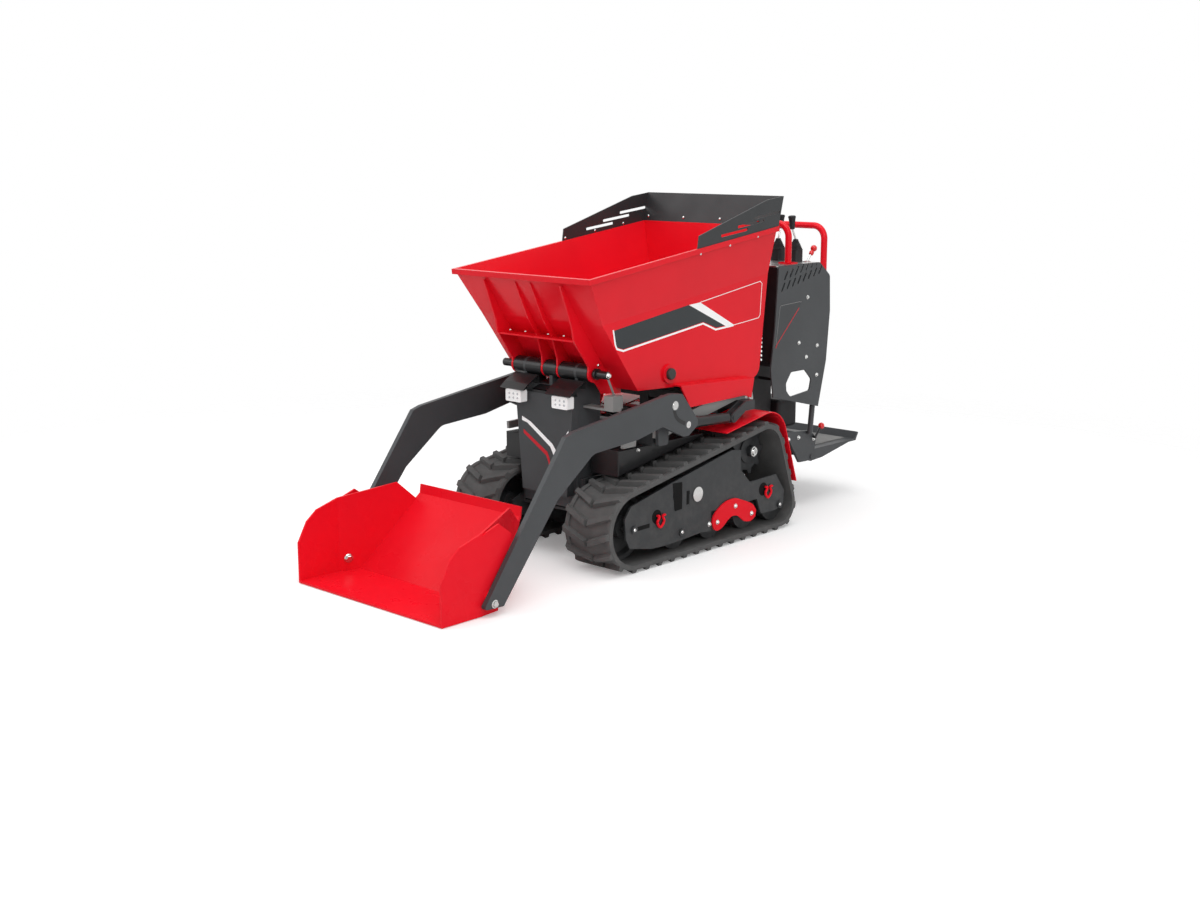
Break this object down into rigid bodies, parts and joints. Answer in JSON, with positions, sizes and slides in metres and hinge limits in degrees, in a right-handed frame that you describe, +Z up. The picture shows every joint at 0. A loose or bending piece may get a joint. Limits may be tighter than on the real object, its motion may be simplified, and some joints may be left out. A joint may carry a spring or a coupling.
{
  "type": "tracked mini dumper with self-loading shovel",
  "caption": "Compact rubber-tracked site dumper with a front-tipping hopper, a self-loading shovel on two arms, a rear control console and a fold-up step.",
  "frame": {"origin": "bottom centre of the bounding box, on the ground between the tracks", "axes": "+X to the machine's left, +Y to its rear with the console and step, +Z up; the shovel is at -Y"},
  "size_m": [0.83, 2.62, 1.347],
  "materials": {
    "red_paint": "gloss",
    "anthracite_paint": "satin",
    "black_paint": "satin",
    "silver_metal": "brushed",
    "bright_steel": "polished",
    "grey_paint": "satin",
    "track_rubber": "matte",
    "lamp_white": "gloss",
    "black_plastic": "matte",
    "red_plastic": "gloss",
    "engine_grey": "cast"
  },
  "bodies": {
    "chassis": {"bogie_plates": "red_paint", "chassis_frame": "anthracite_paint", "console_front_cover": "black_paint", "console_side_left": "anthracite_paint", "console_side_right": "anthracite_paint", "console_struts": "anthracite_paint", "console_top_panel": "silver_metal", "control_levers": "black_plastic", "drive_motors": "black_paint", "engine_block": "engine_grey", "fan_housing": "silver_metal", "fender_left": "red_paint", "fender_right": "red_paint", "front_cover": "anthracite_paint", "front_tower": "anthracite_paint", "handrails": "red_paint", "hinge_pin": "bright_steel", "hinge_tubes": "black_paint", "hopper_rests": "track_rubber", "hydraulic_tank": "black_plastic", "idlers": "anthracite_paint", "lamp_hoods": "anthracite_paint", "latch_knob": "red_plastic", "lever_boots": "black_plastic", "lift_mounts": "anthracite_paint", "loader_posts": "anthracite_paint", "pivot_pins": "bright_steel", "platform_bracket": "anthracite_paint", "shackles": "red_paint", "side_boxes": "black_paint", "side_braces": "grey_paint", "sprockets": "anthracite_paint", "tilt_link": "grey_paint", "track_frame_left": "anthracite_paint", "track_frame_right": "anthracite_paint", "track_left": "track_rubber", "track_right": "track_rubber", "track_rollers": "anthracite_paint", "work_lamps": "lamp_white"},
    "hopper": {"hopper": "red_paint", "hopper_ribs": "red_paint", "hopper_ears": "red_paint", "hopper_rails": "red_paint", "hopper_caps": "black_plastic", "hopper_guard": "anthracite_paint"},
    "loader": {"loader_arms": "anthracite_paint", "lift_pins": "bright_steel", "shovel": "red_paint"},
    "platform": {"platform": "anthracite_paint", "platform_mat": "grey_paint"},
    "tip_barrel": {"tip_barrel": "black_paint"},
    "tip_rod": {"tip_rod": "bright_steel"},
    "lift_barrel_left": {"lift_barrel_left": "black_paint"},
    "lift_barrel_right": {"lift_barrel_right": "black_paint"},
    "lift_rod_left": {"lift_rod_left": "bright_steel"},
    "lift_rod_right": {"lift_rod_right": "bright_steel"}
  },
  "joints": [
    {"name": "hopper_tip", "type": "hinge", "parent": "chassis", "child": "hopper", "pos_m": [0, -0.385, 0.72], "axis": [1, 0, 0], "range_deg": [0, 80]},
    {"name": "loader_lift", "type": "hinge", "parent": "chassis", "child": "loader", "pos_m": [0, -0.171, 0.599], "axis": [1, 0, 0], "range_deg": [-125, 0]},
    {"name": "platform_fold", "type": "hinge", "parent": "chassis", "child": "platform", "pos_m": [0, 0.928, 0.218], "axis": [1, 0, 0], "range_deg": [0, 80]},
    {"name": "tip_barrel_swing", "type": "hinge", "parent": "chassis", "child": "tip_barrel", "pos_m": [0, 0.36, 0.34], "axis": [1, 0, 0], "range_deg": [-22, 0]},
    {"name": "tip_rod_slide", "type": "slide", "parent": "tip_barrel", "child": "tip_rod", "axis": [0, -0.9226, 0.3858], "range_m": [0, 0.19]},
    {"name": "lift_barrel_left_swing", "type": "hinge", "parent": "chassis", "child": "lift_barrel_left", "pos_m": [0.3775, 0.21, 0.5], "axis": [1, 0, 0], "range_deg": [-6.5, 0]},
    {"name": "lift_rod_left_slide", "type": "slide", "parent": "lift_barrel_left", "child": "lift_rod_left", "axis": [0, -0.9984, 0.0558], "range_m": [0, 0.196]},
    {"name": "lift_barrel_right_swing", "type": "hinge", "parent": "chassis", "child": "lift_barrel_right", "pos_m": [-0.3775, 0.21, 0.5], "axis": [1, 0, 0], "range_deg": [-6.5, 0]},
    {"name": "lift_rod_right_slide", "type": "slide", "parent": "lift_barrel_right", "child": "lift_rod_right", "axis": [0, -0.9984, 0.0558], "range_m": [0, 0.196]}
  ],
  "couplings": [
    {"joint": "tip_barrel_swing", "follows": "hopper_tip", "ratio": -0.2675},
    {"joint": "tip_rod_slide", "follows": "hopper_tip", "m_per_rad": 0.13493},
    {"joint": "lift_barrel_left_swing", "follows": "loader_lift", "ratio": 0.0512},
    {"joint": "lift_rod_left_slide", "follows": "loader_lift", "m_per_rad": -0.089152},
    {"joint": "lift_barrel_right_swing", "follows": "loader_lift", "ratio": 0.0512},
    {"joint": "lift_rod_right_slide", "follows": "loader_lift", "m_per_rad": -0.089152}
  ]
}
